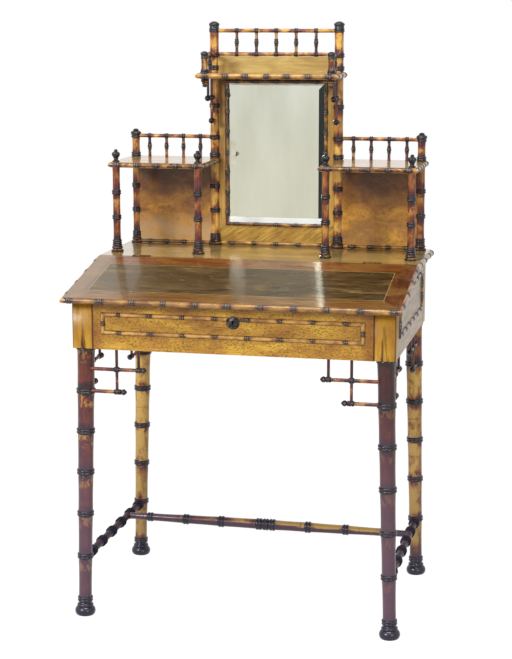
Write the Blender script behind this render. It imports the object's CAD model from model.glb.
import math

import bpy
from mathutils import Matrix, Vector


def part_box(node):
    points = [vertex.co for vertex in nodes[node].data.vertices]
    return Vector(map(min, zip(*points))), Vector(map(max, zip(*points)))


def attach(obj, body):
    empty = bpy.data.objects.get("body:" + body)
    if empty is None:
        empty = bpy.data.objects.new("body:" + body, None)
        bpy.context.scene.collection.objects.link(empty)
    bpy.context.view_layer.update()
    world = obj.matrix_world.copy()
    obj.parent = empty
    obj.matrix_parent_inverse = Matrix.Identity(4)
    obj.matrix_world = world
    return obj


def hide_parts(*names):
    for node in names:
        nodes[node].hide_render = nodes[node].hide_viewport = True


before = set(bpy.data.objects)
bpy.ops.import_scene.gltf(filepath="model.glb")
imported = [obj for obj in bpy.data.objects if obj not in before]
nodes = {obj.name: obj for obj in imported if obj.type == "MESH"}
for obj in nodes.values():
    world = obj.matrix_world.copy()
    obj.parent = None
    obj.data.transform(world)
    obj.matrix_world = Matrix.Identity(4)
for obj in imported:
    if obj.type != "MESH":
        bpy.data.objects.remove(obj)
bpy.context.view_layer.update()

# A lady's writing desk in faux bamboo. Metres, X to the sitter's right, -Y to the sitter, Z up.

sides = {"left": -1, "right": 1}
xAxis, yAxis, zAxis = Vector((1, 0, 0)), Vector((0, 1, 0)), Vector((0, 0, 1))

# places that the frame gives
friezeLow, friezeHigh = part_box("frieze_front")
flatLow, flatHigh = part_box("flat_top")
caseFront, caseLow = friezeLow.y, friezeLow.z
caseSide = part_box("side_panel_right")[1].x
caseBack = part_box("case_back")[1].y
topZ, topHalf, topBack = flatHigh.z, flatHigh.x, flatHigh.y
blockHalf = (caseSide - friezeHigh.x) / 2
blockX = friezeHigh.x + blockHalf
frontLegY = caseFront + blockHalf
backLegY = caseBack - blockHalf
shelfLow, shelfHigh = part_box("side_shelf_right")
topShelfLow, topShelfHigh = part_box("top_shelf")
glassLow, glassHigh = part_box("mirror_glass")
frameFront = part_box("mirror_frame")[0].y
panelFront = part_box("back_panel_right")[0].y

slopeSet = {
    "angle": math.radians(11.74),
    "hingeY": 0.011,
    "gap": 0.0003,
    "length": 0.2653,
    "thick": 0.013,
}
slopeStart = Matrix.Translation((0, slopeSet["hingeY"] - slopeSet["gap"], topZ))
slopeMatrix = slopeStart @ Matrix.Rotation(slopeSet["angle"], 4, "X")
slopeNormal = slopeMatrix.to_3x3() @ zAxis


# hands that pick, place, copy, join and cut


def pickOnly(piece):
    bpy.ops.object.select_all(action="DESELECT")
    piece.select_set(True)
    bpy.context.view_layer.objects.active = piece


def settle(piece, matrix):
    pickOnly(piece)
    piece.matrix_world = matrix
    bpy.ops.object.transform_apply(location=True, rotation=True, scale=True)
    return piece


def stand(piece, x, y, z):
    return settle(piece, Matrix.Translation((x, y, z)))


def startShape(addShape, name, **measures):
    # one of Blender's own shapes, alone in the selection
    bpy.ops.object.select_all(action="DESELECT")
    addShape(**measures)
    bpy.context.object.name = name
    return bpy.context.object


def copyOf(piece, name):
    twin = piece.copy()
    twin.data = piece.data.copy()
    twin.name = name
    bpy.context.scene.collection.objects.link(twin)
    return twin


def joinAll(name, pieces):
    pickOnly(pieces[0])
    for piece in pieces[1:]:
        piece.select_set(True)
    if len(pieces) > 1:
        bpy.ops.object.join()
    pieces[0].name = name
    return pieces[0]


def drop(*pieces):
    for piece in pieces:
        bpy.data.objects.remove(piece)


def applyAll(piece):
    pickOnly(piece)
    for modifier in list(piece.modifiers):
        bpy.ops.object.modifier_apply(modifier=modifier.name)


def cutOut(piece, *tools):
    # takes the shapes of the tools out of the piece
    for tool in tools:
        hole = piece.modifiers.new("hole", "BOOLEAN")
        hole.operation = "DIFFERENCE"
        hole.solver = "EXACT"
        hole.object = tool
    applyAll(piece)
    drop(*tools)


def saw(piece, spot, normal):
    # cuts the piece through and keeps what lies on the side that the normal points to
    pickOnly(piece)
    bpy.ops.object.mode_set(mode="EDIT")
    bpy.ops.mesh.select_all(action="SELECT")
    bpy.ops.mesh.bisect(plane_co=spot, plane_no=normal, use_fill=True, clear_inner=True, clear_outer=False)
    bpy.ops.object.mode_set(mode="OBJECT")


def smooth(piece, angle=38):
    pickOnly(piece)
    bpy.ops.object.shade_smooth_by_angle(angle=math.radians(angle))


# the lathe


def turn(name, outline, steps=24):
    # outline: (radius, height) from the foot to the tip, both ends on the axis
    piece = startShape(bpy.ops.mesh.primitive_plane_add, name, size=0.01, location=(0, 0, 0))
    bpy.ops.object.mode_set(mode="EDIT")
    bpy.ops.mesh.select_all(action="SELECT")
    bpy.ops.mesh.merge(type="CENTER")
    bpy.ops.transform.translate(value=(outline[0][0], 0, outline[0][1]))
    for (radius, height), (nextRadius, nextHeight) in zip(outline, outline[1:]):
        step = (nextRadius - radius, 0, nextHeight - height)
        bpy.ops.mesh.extrude_region_move(TRANSFORM_OT_translate={"value": step})
    bpy.ops.mesh.select_all(action="SELECT")
    bpy.ops.mesh.spin(steps=steps, angle=math.tau, center=(0, 0, 0), axis=(0, 0, 1))
    bpy.ops.mesh.select_all(action="SELECT")
    bpy.ops.mesh.remove_doubles(threshold=0.00002)
    bpy.ops.mesh.normals_make_consistent(inside=False)
    bpy.ops.object.mode_set(mode="OBJECT")
    smooth(piece)
    return piece


beadShape = ((0.04, 0.35), (0.2, 0.8), (0.5, 1), (0.8, 0.8), (0.96, 0.35))      # share of its width, share of its rise


def beads(height, radius, joint):
    # the raised rings of one bamboo joint, round on top, with a groove between them
    half = joint["half"]
    wide = half * 2 / joint["beads"]
    points = [(radius, height - half)]
    for number in range(joint["beads"]):
        low = height - half + wide * number
        points += [(radius + joint["proud"] * rise, low + wide * share) for share, rise in beadShape]
    return points + [(radius, height + half)]


def cane(low, high, lowRadius, highRadius, joints, joint, waist=0.0):
    # a length of bamboo between two heights, a little slimmer between its joints, without its end faces
    def radiusAt(height):
        return lowRadius + (highRadius - lowRadius) * (height - low) / (high - low)

    shortest = 0.004      # a shorter bay stays straight
    points = [(lowRadius, low)]
    ends = [low] + sorted(joints) + [high]
    for number, (start, end) in enumerate(zip(ends, ends[1:])):
        bayLow = start + (joint["half"] if number else 0)
        bayHigh = end - (joint["half"] if number < len(joints) else 0)
        if bayHigh - bayLow > shortest:
            for share in (0.25, 0.5, 0.75):
                height = bayLow + (bayHigh - bayLow) * share
                points.append((radiusAt(height) - waist * math.sin(math.pi * share), height))
        if number < len(joints):
            points += beads(end, radiusAt(end), joint)
    return points + [(highRadius, high)]


def closed(points):
    return [(0, points[0][1])] + points + [(0, points[-1][1])]


def spans(joints, joint, *more):
    return [(height - joint["half"], height + joint["half"]) for height in joints] + list(more)


def write(piece, name, numbers):
    # numbers at the points of a mesh, one each, or three each for a place
    mesh = piece.data
    isPlace = len(numbers) > len(mesh.vertices)
    if name not in mesh.attributes:
        mesh.attributes.new(name, "FLOAT_VECTOR" if isPlace else "FLOAT", "POINT")
    mesh.attributes[name].data.foreach_set("vector" if isPlace else "value", numbers)


def stain(piece, dark, tone, seed, darker=()):
    # dark: heights that are blackened; tone: 0 golden, 1 dark; darker: stretches with a tone of their own;
    # all are read before the piece is laid in place
    mesh = piece.data
    shift = Vector((seed * 1.37 % 7, seed * 2.71 % 11, seed * 3.93 % 13))
    farthest = 0.2
    away, below, share, tones, spots = [], [], [], [], []
    for vertex in mesh.vertices:
        height = vertex.co.z
        tones.append(max([tone] + [ownTone for low, high, ownTone in darker if low < height < high]))
        far, place = farthest, 0
        for low, high in dark:
            gap = max(low - height, height - high, 0)
            if gap < far:
                far, place = gap, min(max((height - low) / (high - low), 0), 1)
        away.append(far)
        share.append(place)
        below.append(min([low - height for low, high in dark if low > height] + [farthest]))
        spots.extend(vertex.co + shift)
    write(piece, "canePlace", spots)
    for name, numbers in {"fromJoint": away, "belowJoint": below, "jointShare": share, "caneTone": tones}.items():
        write(piece, name, numbers)
    return piece


def along(start, direction, outward=None):
    # lays a turned piece's Z along a direction, with its Y outward
    direction = Vector(direction).normalized()
    outward = Vector(outward) if outward else (zAxis if abs(direction.z) < 0.9 else yAxis)
    across = outward.cross(direction).normalized()
    outward = direction.cross(across)
    matrix = Matrix((across, outward, direction)).transposed().to_4x4()
    return Matrix.Translation(start) @ matrix


def finish(piece, material, slot, body, *replaced):
    piece.data.materials.clear()
    piece.data.materials.append(material)
    return declare(piece, slot, body, *replaced)


def declare(piece, slot, body, *replaced):
    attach(piece, body)
    if replaced:
        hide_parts(*replaced)
    return piece


def runMoulding(name, path, outwards, joints, look, loop=False, matrix=None):
    # split bamboo along a path, mitred at its corners
    radius, joint = look["radius"], look["joint"]
    count = len(path) if loop else len(path) - 1
    spare = (radius + joint["proud"]) * 1.5
    strips, directions = [], []
    for number in range(count):
        start, end = Vector(path[number]), Vector(path[(number + 1) % len(path)])
        direction = (end - start).normalized()
        before = spare if loop or number else 0
        after = spare if loop or number < count - 1 else 0
        far = (end - start).length + after
        points = cane(-before, far, radius, radius, joints[number], joint, radius * 0.03)
        strip = turn(name, closed(points), look.get("steps", 20))
        saw(strip, (0, 0, 0), (0, 1, 0))
        stain(strip, spans(joints[number], joint), look["tone"], look["seed"] + number)
        strips.append(settle(strip, along(start, direction, outwards[number])))
        directions.append(direction)
    for number in range(0 if loop else 1, count):
        normal = directions[number - 1] + directions[number]
        saw(strips[number - 1], path[number], -normal)
        saw(strips[number], path[number], normal)
    piece = joinAll(name, strips)
    smooth(piece)
    return settle(piece, matrix) if matrix else piece


# material hands

bench = {}      # the material in hand, with its tree and shader


def colour(text):
    # a written colour, as the linear numbers that a node takes
    parts = [int(text[place:place + 2], 16) / 255 for place in (1, 3, 5)]
    return tuple(part / 12.92 if part <= 0.04045 else ((part + 0.055) / 1.055) ** 2.4 for part in parts) + (1,)


def feed(socket, value):
    if isinstance(value, bpy.types.NodeSocket):
        bench["tree"].links.new(value, socket)
    elif value is not None:
        socket.default_value = colour(value) if isinstance(value, str) else value


def addNode(kind, inputs, **settings):
    node = bench["tree"].nodes.new("ShaderNode" + kind)
    for name, value in settings.items():
        setattr(node, name, value)
    for socket, value in inputs.items():
        feed(node.inputs[socket], value)
    return node


def startMaterial(name, rough, coat=0.0, coatRough=0.15, metal=0.0, specular=0.5):
    material = bpy.data.materials.new(name)
    material.use_nodes = True
    shader = material.node_tree.nodes["Principled BSDF"]
    bench.update(material=material, tree=material.node_tree, shader=shader)
    levels = {"Roughness": rough, "Coat Weight": coat, "Coat Roughness": coatRough, "Metallic": metal,
              "Specular IOR Level": specular}
    for socket, level in levels.items():
        feed(shader.inputs[socket], level)


def endMaterial(surface, wear=None, relief=None):
    # wear: a pattern, and the roughness at its low and its high places; relief: a pattern, its strength and depth
    shader = bench["shader"]
    feed(shader.inputs["Base Color"], surface)
    if wear:
        pattern, low, high = wear
        feed(shader.inputs["Roughness"], between(pattern, 0.25, 0.75, low, high))
    if relief:
        pattern, strength, depth = relief
        bump = addNode("Bump", {"Height": pattern, "Strength": strength, "Distance": depth})
        feed(shader.inputs["Normal"], bump.outputs["Normal"])
    return bench["material"]


def mapped(vector, scale=(1, 1, 1), turnBy=(0, 0, 0), shift=(0, 0, 0)):
    inputs = {"Vector": vector, "Scale": scale, "Rotation": turnBy, "Location": shift}
    return addNode("Mapping", inputs).outputs["Vector"]


def objectPlace(turnBy=(0, 0, 0), shift=(0, 0, 0)):
    return mapped(addNode("TexCoord", {}).outputs["Object"], (1, 1, 1), turnBy, shift)


def attribute(name, output="Fac"):
    return addNode("Attribute", {}, attribute_name=name).outputs[output]


def axes(vector):
    return addNode("SeparateXYZ", {0: vector}).outputs


def sized(vector, scale):
    # three numbers stretch the pattern's place, one is the pattern's own scale
    if isinstance(scale, tuple):
        return {"Vector": mapped(vector, scale), "Scale": 1.0}
    return {"Vector": vector, "Scale": scale}


def noise(vector, scale, detail=3.0, rough=0.5, distortion=0.0):
    inputs = {**sized(vector, scale), "Detail": detail, "Roughness": rough, "Distortion": distortion}
    return addNode("TexNoise", inputs).outputs["Fac"]


def cells(vector, scale, feature="F1"):
    return addNode("TexVoronoi", sized(vector, scale), feature=feature).outputs["Distance"]


def reckon(operation, first, *others, clamp=False):
    # one operation on a value, or on several, from the first to the last
    for other in others or (None,):
        first = addNode("Math", {0: first, 1: other}, operation=operation, use_clamp=clamp).outputs[0]
    return first


def plus(*values):
    return reckon("ADD", *values)


def minus(first, second, clamp=False):
    return reckon("SUBTRACT", first, second, clamp=clamp)


def times(*values):
    return reckon("MULTIPLY", *values)


def largest(*values):
    return reckon("MAXIMUM", *values)


def unsigned(value):
    return reckon("ABSOLUTE", value)


def isAbove(value, limit):
    return reckon("GREATER_THAN", value, limit)


def between(value, low, high, fromLow=0.0, toHigh=1.0):
    # a soft step from one value to another, as the input goes from low to high
    inputs = {"Value": value, "From Min": low, "From Max": high, "To Min": fromLow, "To Max": toHigh}
    return addNode("MapRange", inputs, interpolation_type="SMOOTHSTEP").outputs["Result"]


def fading(value, low, high):
    return between(value, low, high, 1.0, 0.0)


def ramp(value, stops):
    node = addNode("ValToRGB", {"Fac": value})
    elements = node.color_ramp.elements
    while len(elements) < len(stops):
        elements.new(0.5)
    for element, (place, text) in zip(elements, stops):
        element.position = place
        element.color = colour(text)
    return node.outputs["Color"]


def mixed(share, first, second, mode="MIX"):
    return addNode("Mix", {0: share, 6: first, 7: second}, data_type="RGBA", blend_type=mode).outputs[2]


# finishes


caneLook = {
    "coat": 0.25, "specular": 0.3, "scorch": 0.02, "patch": 0.2,
    "stops": [(0.0, "#c9a250"), (0.2, "#b18439"), (0.4, "#8f5720"), (0.58, "#662b17"), (0.78, "#441917"),
              (1.0, "#241010")],
    "ringStops": [(0.0, "#181218"), (0.42, "#181218"), (0.5, "#6e5236"), (0.58, "#181218")],
    "worn": "#b8893c", "lines": "#5a2a14", "specks": "#3c1c14", "floorPurple": "#80626e", "floorBlack": "#282240",
}
splitLook = {
    **caneLook,
    "coat": 0.55, "scorch": 0.008, "patch": 0.15,
    "stops": [(0.0, "#c29349"), (0.22, "#986e32"), (0.44, "#6f481d"), (0.64, "#502a0f"), (0.84, "#3e1a0f"),
              (1.0, "#270f0c")],
    "ringStops": [(0.0, "#160e10"), (0.12, "#1c1010"), (0.26, "#74502e"), (0.42, "#1c1010"), (0.58, "#1c1010"),
                  (0.74, "#74502e"), (0.88, "#1c1010"), (1.0, "#160e10")],
}


def bambooFinish(name, look):
    startMaterial(name, 0.36, look["coat"], 0.12, 0.0, look["specular"])
    place = attribute("canePlace", "Vector")
    away, below, tone = attribute("fromJoint"), attribute("belowJoint"), attribute("caneTone")
    pale = minus(1.0, tone)
    notBlack = between(tone, 1.0, 1.08, 1.0, 0.06)
    patches = noise(place, (44, 44, 30), 3.0, 0.6, 0.4)
    streaks = noise(place, (520, 520, 26), 3.0, 0.6)
    flecks = noise(place, (210, 210, 90), 2.0, 0.6)
    across = noise(place, (9, 9, 190), 2.0, 0.5)
    # darker by its tone, in patches and streaks, and scorched close to a joint
    swing = times(between(patches, 0.36, 0.66, -1.0, 1.0), plus(pale, 0.35), look["patch"])
    scorch = times(fading(away, 0.0, look["scorch"]), between(patches, 0.3, 0.6, 0.1, 0.42))
    depth = plus(times(tone, 0.8), swing, between(streaks, 0.3, 0.7, -0.08, 0.1), scorch)
    # with a lighter, flecked place just under a joint on the dark canes
    glow = times(fading(below, 0.004, 0.034), between(flecks, 0.46, 0.62, 0.0, 0.36), notBlack, tone)
    wood = ramp(minus(depth, glow, clamp=True), look["stops"])
    wear = noise(place, (70, 70, 42), 3.0, 0.7, 0.3)
    worn = times(between(wear, 0.5, 0.57), fading(below, 0.022, 0.032), between(streaks, 0.3, 0.6, 0.3, 0.9),
                 notBlack, tone, between(tone, 0.9, 1.0, 1.1, 0.25))
    wood = mixed(worn, wood, look["worn"])
    wood = mixed(times(between(across, 0.66, 0.72), pale, 0.6), wood, look["lines"])
    specks = times(fading(cells(place, (170, 170, 110)), 0.1, 0.2), between(noise(place, 60.0, 1.0), 0.5, 0.56), 0.75)
    wood = mixed(specks, wood, look["specks"])
    # the dark stain turns purple towards the floor
    low = between(axes(objectPlace())[2], 0.1, 0.6, 0.45, 0.0)
    wood = mixed(times(low, tone, notBlack), wood, look["floorPurple"])
    rub = between(noise(place, 240.0, 2.0), 0.4, 0.62, 0.35, 1.0)
    ring = mixed(rub, look["ringStops"][0][1], ramp(attribute("jointShare"), look["ringStops"]))
    wood = mixed(fading(away, 0.0, 0.0009), wood, ring)
    wood = mixed(times(low, 0.8), wood, look["floorBlack"])
    return endMaterial(wood, (streaks, 0.26, 0.46), (streaks, 0.25, 0.0004))


friezeFrameSet = {"half": 0.280, "low": 0.644, "high": 0.683, "pitch": 0.070, "count": 8, "tone": 0.28}
birdsEyeLook = {
    "stops": [(0.28, "#c59e38"), (0.48, "#ae822c"), (0.68, "#885a22")],
    "grain": "#7e5018", "marks": "#643714", "eyes": "#46260f",
    "ends": "#744016", "grime": "#3a1d0c", "endLine": "#2a140a",
}


def birdsEyeFinish(look):
    # golden maple with brown eyes and short dashes, browner at both ends of the board
    startMaterial("birdsEyeMaple", 0.34, 0.15, 0.12, 0.0, 0.3)
    place = objectPlace()
    clouds = noise(place, (12, 12, 30), 4.0, 0.6, 0.4)
    grain = noise(place, (30, 60, 420), 3.0, 0.6)
    worms = noise(place, (170, 170, 300), 4.0, 0.7, 0.25)
    crowd = noise(place, (26, 26, 50), 2.0)
    eyes = cells(place, (130, 130, 210))
    wood = mixed(between(grain, 0.42, 0.7, 0.0, 0.35), ramp(clouds, look["stops"]), look["grain"])
    marks = times(between(worms, 0.5, 0.59), between(crowd, 0.32, 0.48, 0.3, 1.0), 0.74)
    wood = mixed(marks, wood, look["marks"])
    wood = mixed(times(fading(eyes, 0.16, 0.3), between(crowd, 0.38, 0.46), 0.55), wood, look["eyes"])
    fromMiddle = unsigned(axes(place)[0])
    wood = mixed(between(fromMiddle, 0.27, 0.296, 0.0, 0.55), wood, look["ends"])
    # grime in the corner along the split bamboo
    half, low, high = friezeFrameSet["half"], friezeFrameSet["low"], friezeFrameSet["high"]
    fromLevel = unsigned(minus(axes(place)[2], (high + low) / 2))
    beside = unsigned(largest(minus(fromMiddle, half), minus(fromLevel, (high - low) / 2)))
    wood = mixed(between(beside, 0.0042, 0.0058, 0.75, 0.0), wood, look["grime"])
    endLine = between(fromMiddle, friezeHigh.x - 0.0026, friezeHigh.x - 0.0012, 0.0, 0.9)
    wood = mixed(endLine, wood, look["endLine"])
    return endMaterial(wood, (clouds, 0.26, 0.42), (eyes, 0.06, 0.0005))


blockLook = {
    "stops": [(0.3, "#bc933c"), (0.5, "#a77b29"), (0.72, "#855720")],
    "grain": "#734514", "flame": "#3e1c0c", "edges": "#481f10",
    "flameTall": 0.058, "rightTaller": 0.022,
    "flameHalf": 0.0045, "rightWider": 0.0065,
}


def blockFinish(look):
    # golden maple with a soft brown flame that rises from the foot of each block, and darkened edges
    startMaterial("flamedMaple", 0.42, 0.05, 0.14, 0.0, 0.2)
    parts, own = axes(attribute("canePlace", "Vector")), objectPlace()
    grain = noise(own, (150, 150, 12), 3.0, 0.6, 0.3)
    clouds = noise(own, (30, 30, 12), 3.0, 0.5)
    wander = noise(own, (60, 60, 14), 3.0, 0.6)
    wood = mixed(between(grain, 0.45, 0.75, 0.0, 0.5), ramp(clouds, look["stops"]), look["grain"])
    across = unsigned(plus(parts[0], times(minus(wander, 0.5), 0.022)))
    # the flame is tall and open on the right, a narrow streak on the left
    right = isAbove(axes(own)[0], 0.0)
    rise = reckon("DIVIDE", parts[2], plus(times(right, look["rightTaller"]), look["flameTall"]))
    reach = times(minus(1.0, rise), plus(times(right, look["rightWider"]), look["flameHalf"]))
    inside = minus(across, reach)
    flame = times(fading(inside, -0.003, 0.0016), between(inside, -0.0075, -0.0035, 0.25, 1.0),
                  fading(rise, 0.9, 1.05), between(grain, 0.3, 0.55, 0.35, 0.95))
    wood = mixed(flame, wood, look["flame"])
    edge = reckon("MINIMUM", unsigned(parts[0]), unsigned(parts[1]))
    wood = mixed(between(edge, 0.0198, 0.0216, 0.0, 0.8), wood, look["edges"])
    return endMaterial(wood, (grain, 0.28, 0.44), (grain, 0.08, 0.0004))


def boardPatterns(look):
    # a veneer's place, grain, clouds and colour; the grain runs along the axis with the smallest scale
    place = objectPlace(look.get("turn", (0, 0, 0)))
    grain = noise(place, look["grain"], 4.0, 0.6, look.get("wave", 0.4))
    clouds = noise(place, look["clouds"], 4.0, 0.55, 0.8)
    share = between(grain, 0.42, 0.72, 0.0, look["grainShare"])
    return place, grain, clouds, mixed(share, ramp(clouds, look["stops"]), look["grainColour"])


def boardFinish(name, look):
    rough = look["rough"]
    startMaterial(name, rough, look["coat"], look["coatRough"], 0.0, look.get("specular", 0.5))
    place, grain, clouds, wood = boardPatterns(look)
    own = axes(objectPlace())
    if "marks" in look:
        crowd = noise(mapped(place, look["clouds"]), 3.0, 2.0)
        spots = times(fading(cells(place, look["marks"]), 0.12, 0.3), between(crowd, 0.42, 0.6), 0.7)
        wood = mixed(spots, wood, look["markColour"])
    if "heights" in look:
        rise = between(own[2], *look["heights"])
        wood = mixed(1.0, wood, ramp(rise, look["heightStops"]), "MULTIPLY")
        mist = times(fading(rise, *look["mist"]), between(clouds, 0.36, 0.6, 0.1, 0.7),
                     between(own[0], -0.1, 0.1, 1.0, 0.25))
        wood = mixed(mist, wood, look["mistColour"])
    if "foot" in look:
        wood = mixed(reckon("LESS_THAN", own[2], look["footTop"]), wood, boardPatterns(look["foot"])[-1])
    if "leftShade" in look:
        shade = times(fading(own[0], -0.12, -0.11), between(own[2], 0.9, 1.0, 0.0, 0.5),
                      between(clouds, 0.35, 0.6, 0.5, 1.0))
        wood = mixed(shade, wood, look["leftShade"])
    return endMaterial(wood, (grain, rough - 0.06, rough + 0.08), (grain, look.get("relief", 0.06), 0.0004))


flatTopLook = {
    "rough": 0.3, "coat": 0.9, "coatRough": 0.06,
    "grain": (7, 150, 60), "clouds": (3, 22, 22),
    "stops": [(0.25, "#b69d5a"), (0.5, "#977c40"), (0.75, "#796233")],
    "grainShare": 0.5, "grainColour": "#6e5424",
}
shelfLook = {
    "rough": 0.3, "coat": 0.8, "coatRough": 0.08,
    "grain": (9, 130, 60), "clouds": (5, 26, 22),
    "stops": [(0.25, "#b48f4a"), (0.5, "#956d2f"), (0.75, "#734f22")],
    "grainShare": 0.5, "grainColour": "#623e19",
}
sideLook = {
    "rough": 0.34, "coat": 0.2, "coatRough": 0.08, "specular": 0.25, "relief": 0.01,
    "grain": (60, 8, 160), "clouds": (20, 5, 30),
    "stops": [(0.25, "#a48037"), (0.5, "#896729"), (0.75, "#725222")],
    "grainShare": 0.45, "grainColour": "#634217",
}
burrLook = {
    "rough": 0.34, "coat": 0.3, "coatRough": 0.14, "specular": 0.3,
    "grain": (60, 60, 90), "clouds": (16, 16, 30), "wave": 2.5,
    "stops": [(0.25, "#daa443"), (0.45, "#b17c2e"), (0.62, "#8b5b21"), (0.8, "#643d18")],
    "grainShare": 0.5, "grainColour": "#5e3a16",
    "marks": (150, 150, 230), "markColour": "#43250f",
    "heights": (0.785, 0.968),
    "heightStops": [(0.0, "#ffffff"), (0.35, "#f0ece4"), (0.62, "#cbc4bc"), (0.82, "#a49492"), (1.0, "#80706f")],
    "mist": (0.0, 0.34), "mistColour": "#bc9a6c",
}
footRailLook = {
    "turn": (0, 0.5, 0),
    "grain": (22, 40, 150), "clouds": (14, 20, 40), "wave": 1.2,
    "stops": [(0.25, "#b59645"), (0.5, "#a27d32"), (0.78, "#7a5520")],
    "grainShare": 0.85, "grainColour": "#5d3e16",
}
stileLook = {
    "rough": 0.34, "coat": 0.15, "coatRough": 0.14, "specular": 0.3,
    "grain": (150, 60, 7), "clouds": (26, 26, 9),
    "stops": [(0.25, "#c29f53"), (0.5, "#a57e3a"), (0.78, "#764f25")],
    "grainShare": 0.6, "grainColour": "#67421c",
    "foot": footRailLook, "footTop": 0.825, "leftShade": "#4e2a16",
}
crestLook = {
    "rough": 0.34, "coat": 0.15, "coatRough": 0.14, "specular": 0.3,
    "grain": (8, 60, 190), "clouds": (10, 20, 34),
    "stops": [(0.25, "#b29e61"), (0.5, "#a2884a"), (0.78, "#7a592e")],
    "grainShare": 0.4, "grainColour": "#6d4e22",
}
pineLook = {
    "rough": 0.6, "coat": 0.0, "coatRough": 0.3,
    "grain": (8, 70, 170), "clouds": (4, 16, 18),
    "stops": [(0.25, "#b98a55"), (0.5, "#a07243"), (0.78, "#855a34")],
    "grainShare": 0.6, "grainColour": "#6f4627",
}
borderLook = {
    "leatherHalf": 0.3188, "back": 0.055, "front": 0.2175, "line": 0.0011,
    "frontStops": [(0.28, "#896530"), (0.46, "#6b471e"), (0.64, "#4e2f11"), (0.8, "#371e0c")],
    "backStops": [(0.28, "#8a5928"), (0.46, "#6f401a"), (0.64, "#522c12"), (0.8, "#391d0d")],
    "endStops": [(0.28, "#673b20"), (0.48, "#532b15"), (0.66, "#402010"), (0.8, "#2e140a")],
    "clouds": "#8d6a34", "faded": "#8f7a5c", "lineColour": "#94905c",
}


def crossbandFinish(look):
    # red-brown bands mitred round the leather, with a thin pale line at their inner edge
    startMaterial("crossbandedBorder", 0.34, 0.4, 0.05, 0.0, 0.3)
    place = objectPlace((-slopeSet["angle"], 0, 0), slopeMatrix.inverted().to_translation())
    parts = axes(place)
    fromHinge = times(parts[1], -1.0)
    beside = minus(unsigned(parts[0]), look["leatherHalf"])
    before, behind = minus(fromHinge, look["front"]), minus(look["back"], fromHinge)
    sideShare = reckon("DIVIDE", beside, topHalf - look["leatherHalf"])
    frontShare = reckon("DIVIDE", before, slopeSet["length"] - look["front"])
    backShare = reckon("DIVIDE", behind, look["back"])
    lengthways = noise(place, (8, 130, 60), 4.0, 0.6, 0.8)
    upright = noise(mapped(place, (110, 14, 60), (0, 0, 0), (5, 3, 1)), 1.0, 4.0, 0.6, 0.8)
    clouds = noise(place, (12, 22, 22), 3.0, 0.5, 0.6)
    front, back = ramp(lengthways, look["frontStops"]), ramp(lengthways, look["backStops"])
    wood = mixed(isAbove(backShare, frontShare), front, back)
    wood = mixed(isAbove(sideShare, largest(frontShare, backShare)), wood, ramp(upright, look["endStops"]))
    wood = mixed(between(clouds, 0.45, 0.7, 0.0, 0.35), wood, look["clouds"])
    wood = mixed(between(parts[0], -0.34, -0.30, 0.5, 0.0), wood, look["faded"])
    wood = mixed(reckon("LESS_THAN", largest(beside, before, behind), look["line"]), wood, look["lineColour"])
    # the underside is plain
    wood = mixed(isAbove(parts[2], -slopeSet["thick"] / 2), boardPatterns(pineLook)[-1], wood)
    return endMaterial(wood, (lengthways, 0.22, 0.34), (lengthways, 0.05, 0.0003))


leatherLook = {
    "stops": [(0.3, "#20160c"), (0.45, "#342411"), (0.57, "#4a371b"), (0.7, "#766539")],
    "clouds": "#33210f", "faded": "#8a7650", "scuffs": "#8f7d52",
}


def leatherFinish(look):
    # dark olive skin, polished by use, with paler streaks along the desk
    startMaterial("wornLeather", 0.42, 0.3, 0.055, 0.0, 0.25)
    place = objectPlace()
    streaks = noise(place, (8, 56, 56), 5.0, 0.66, 1.2)
    clouds = noise(place, (5, 14, 14), 3.0, 0.55, 0.5)
    scuffs = noise(place, (26, 150, 150), 3.0, 0.6, 1.2)
    skin = mixed(between(clouds, 0.45, 0.7, 0.0, 0.55), ramp(streaks, look["stops"]), look["clouds"])
    skin = mixed(between(axes(place)[0], -0.28, 0.1, 0.16, 0.0), skin, look["faded"])
    skin = mixed(between(scuffs, 0.6, 0.72, 0.0, 0.5), skin, look["scuffs"])
    return endMaterial(skin, (streaks, 0.24, 0.4), (cells(place, 900.0, "DISTANCE_TO_EDGE"), 0.1, 0.0002))


mirrorLook = {
    "stops": [(0.3, "#dadacc"), (0.6, "#cfcfbf"), (0.8, "#c6c5b3")],
    "low": "#cdc9a6", "dulled": "#b1b09f", "clouded": "#d6dad9", "gone": "#55523f",
}


def mirrorFinish(look):
    # a silvered plate, a little grey-green, with specks where the silver has gone
    startMaterial("silveredPlate", 0.03, 0.0, 0.1, 1.0)
    place = objectPlace()
    parts = axes(place)
    gone = times(fading(cells(place, (26, 26, 26)), 0.04, 0.07), between(noise(place, 9.0, 1.0), 0.6, 0.64), 0.8)
    plate = ramp(noise(place, (14, 14, 5), 3.0, 0.5), look["stops"])
    plate = mixed(between(parts[2], 0.83, 1.15, 0.3, 0.0), plate, look["low"])
    # the silver has gone dull half way up the left bevel and has clouded to white on the lowest one
    fromMiddle = unsigned(minus(parts[2], (glassLow.z + glassHigh.z) / 2))
    dulled = times(fading(parts[0], glassLow.x + 0.0188, glassLow.x + 0.0195), fading(fromMiddle, 0.022, 0.034))
    plate = mixed(dulled, plate, look["dulled"])
    clouded = fading(parts[2], glassLow.z + 0.0158, glassLow.z + 0.0165)
    plate = mixed(clouded, plate, look["clouded"])
    feed(bench["shader"].inputs["Metallic"], minus(1.0, largest(dulled, clouded)))
    return endMaterial(mixed(gone, plate, look["gone"]))


brassLook = {"rough": 0.35, "stops": [(0.3, "#d9b468"), (0.55, "#b88f45"), (0.75, "#7b5d2c")]}
darkBrassLook = {"rough": 0.5, "stops": [(0.3, "#6a4c26"), (0.55, "#48331c"), (0.75, "#2c2014")]}
ironLook = {"rough": 0.42, "stops": [(0.3, "#5a5654"), (0.55, "#343031"), (0.75, "#1f1b1c")]}


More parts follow.
